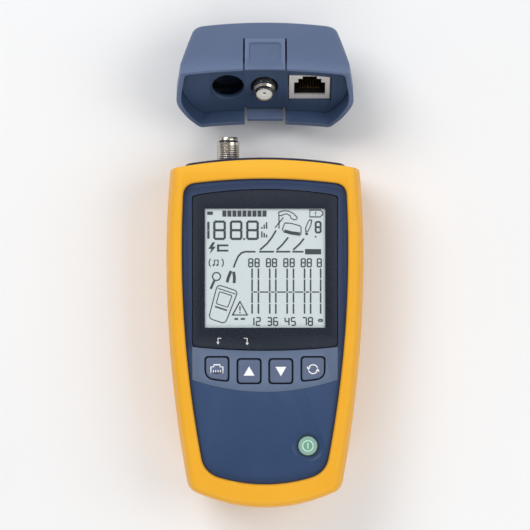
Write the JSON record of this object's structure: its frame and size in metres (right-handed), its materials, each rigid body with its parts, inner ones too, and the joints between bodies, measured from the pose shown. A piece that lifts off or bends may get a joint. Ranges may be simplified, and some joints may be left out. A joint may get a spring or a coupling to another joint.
{
  "type": "network cable tester",
  "caption": "Hand-held network cable tester in a rubber holster, with display, keys and a plug-on wiremap adapter drawn off its connector end.",
  "frame": {"origin": "flat back of the holster, at the tester's middle", "axes": "+Y along the tester towards its connector end, +Z out of the display, +X to the right seen from the front"},
  "size_m": [0.0778, 0.1905, 0.0376],
  "materials": {
    "holster_rubber": "satin moulded rubber, orange-yellow",
    "case_blue": "fine-grained moulded ABS, navy blue",
    "case_dark": "fine-grained moulded ABS, dark slate blue",
    "nickel": "bright nickel plate",
    "white_plastic": "natural white polymer",
    "black_plastic": "black thermoplastic",
    "gold": "gold flash over phosphor bronze",
    "lens_clear": "clear acrylic window",
    "lens_ink": "blue-black ink behind the window",
    "lcd": "pale blue-grey liquid crystal panel",
    "board": "green solder mask",
    "mat_rubber": "dark silicone",
    "key_grey": "satin silicone keys, slate blue",
    "key_green": "satin silicone, soft green",
    "cell": "shrink sleeve over a steel can",
    "steel": "zinc-plated steel",
    "resistor": "coated resistor body"
  },
  "bodies": {
    "tester": {"holster": "holster_rubber", "front_case": "case_blue", "rear_case": "case_blue", "end_panel": "case_dark", "f_jack_barrel": "nickel", "f_jack_insulator": "white_plastic", "f_jack_nut": "nickel", "rj45_shield": "nickel", "rj45_housing": "black_plastic", "rj45_contacts": "gold", "display_lens": "lens_clear", "lens_mask": "lens_ink", "lcd_glass": "lcd", "backlight": "white_plastic", "main_board": "board", "processor_chip": "black_plastic", "line_transformer": "black_plastic", "buzzer": "black_plastic", "keypad_mat": "mat_rubber", "battery_left": "cell", "battery_right": "cell", "battery_contact_low": "steel", "battery_contact_high": "steel", "case_screw_1": "steel", "case_screw_2": "steel", "case_screw_3": "steel", "case_screw_4": "steel"},
    "port_key": {"port_key": "key_grey"},
    "up_key": {"up_key": "key_grey"},
    "down_key": {"down_key": "key_grey"},
    "mode_key": {"mode_key": "key_grey"},
    "power_key": {"power_key": "key_green"},
    "battery_door": {"battery_door": "case_blue"},
    "door_screw": {"door_screw": "steel"},
    "adapter_carrier": {"termination_resistor": "resistor"},
    "adapter": {"adapter_front_shell": "case_blue", "adapter_rear_shell": "case_blue", "adapter_screw_left": "steel", "adapter_screw_right": "steel", "adapter_port_plate": "case_dark", "adapter_f_jack_barrel": "nickel", "adapter_f_jack_insulator": "white_plastic", "adapter_f_jack_nut": "nickel", "adapter_rj45_shield": "nickel", "adapter_rj45_housing": "black_plastic", "adapter_rj45_contacts": "gold", "adapter_board": "board"},
    "adapter_front_latch": {"adapter_front_latch": "case_blue"},
    "adapter_rear_latch": {"adapter_rear_latch": "case_blue"}
  },
  "joints": [
    {"name": "port_press", "type": "slide", "parent": "tester", "child": "port_key", "axis": [0, 0, -1], "range_m": [0, 0.0009], "stiffness_N_per_m": 900},
    {"name": "up_press", "type": "slide", "parent": "tester", "child": "up_key", "axis": [0, 0, -1], "range_m": [0, 0.0009], "stiffness_N_per_m": 900},
    {"name": "down_press", "type": "slide", "parent": "tester", "child": "down_key", "axis": [0, 0, -1], "range_m": [0, 0.0009], "stiffness_N_per_m": 900},
    {"name": "mode_press", "type": "slide", "parent": "tester", "child": "mode_key", "axis": [0, 0, -1], "range_m": [0, 0.0009], "stiffness_N_per_m": 900},
    {"name": "power_press", "type": "slide", "parent": "tester", "child": "power_key", "axis": [0, 0, -1], "range_m": [0, 0.0009], "stiffness_N_per_m": 900},
    {"name": "door_slide", "type": "slide", "parent": "tester", "child": "battery_door", "axis": [0, 0, -1], "range_m": [0, 0.012]},
    {"name": "door_screw_turn", "type": "hinge", "parent": "battery_door", "child": "door_screw", "pos_m": [0, -0.0082, 0.0037], "axis": [0, 0, 1], "range_deg": [-90, 90]},
    {"name": "adapter_pull", "type": "slide", "parent": "tester", "child": "adapter_carrier", "axis": [0, 0.9956, -0.0941], "range_m": [-0.0356, 0]},
    {"name": "adapter_turn", "type": "hinge", "parent": "adapter_carrier", "child": "adapter", "pos_m": [0.0125, 0.10804, 0.02705], "axis": [1, 0, 0], "range_deg": [-0.5, 40.5]},
    {"name": "front_latch_flex", "type": "hinge", "parent": "adapter", "child": "adapter_front_latch", "pos_m": [0, 0.1139, 0.02579], "axis": [1, 0, 0], "range_deg": [0, 3.5], "stiffness_Nm_per_rad": 1.2},
    {"name": "rear_latch_flex", "type": "hinge", "parent": "adapter", "child": "adapter_rear_latch", "pos_m": [0, 0.09292, 0.00358], "axis": [1, 0, 0], "range_deg": [-3.5, 0], "stiffness_Nm_per_rad": 1.2}
  ],
  "couplings": [
    {"joint": "adapter_turn", "follows": "adapter_pull", "rad_per_m": -19.612}
  ]
}
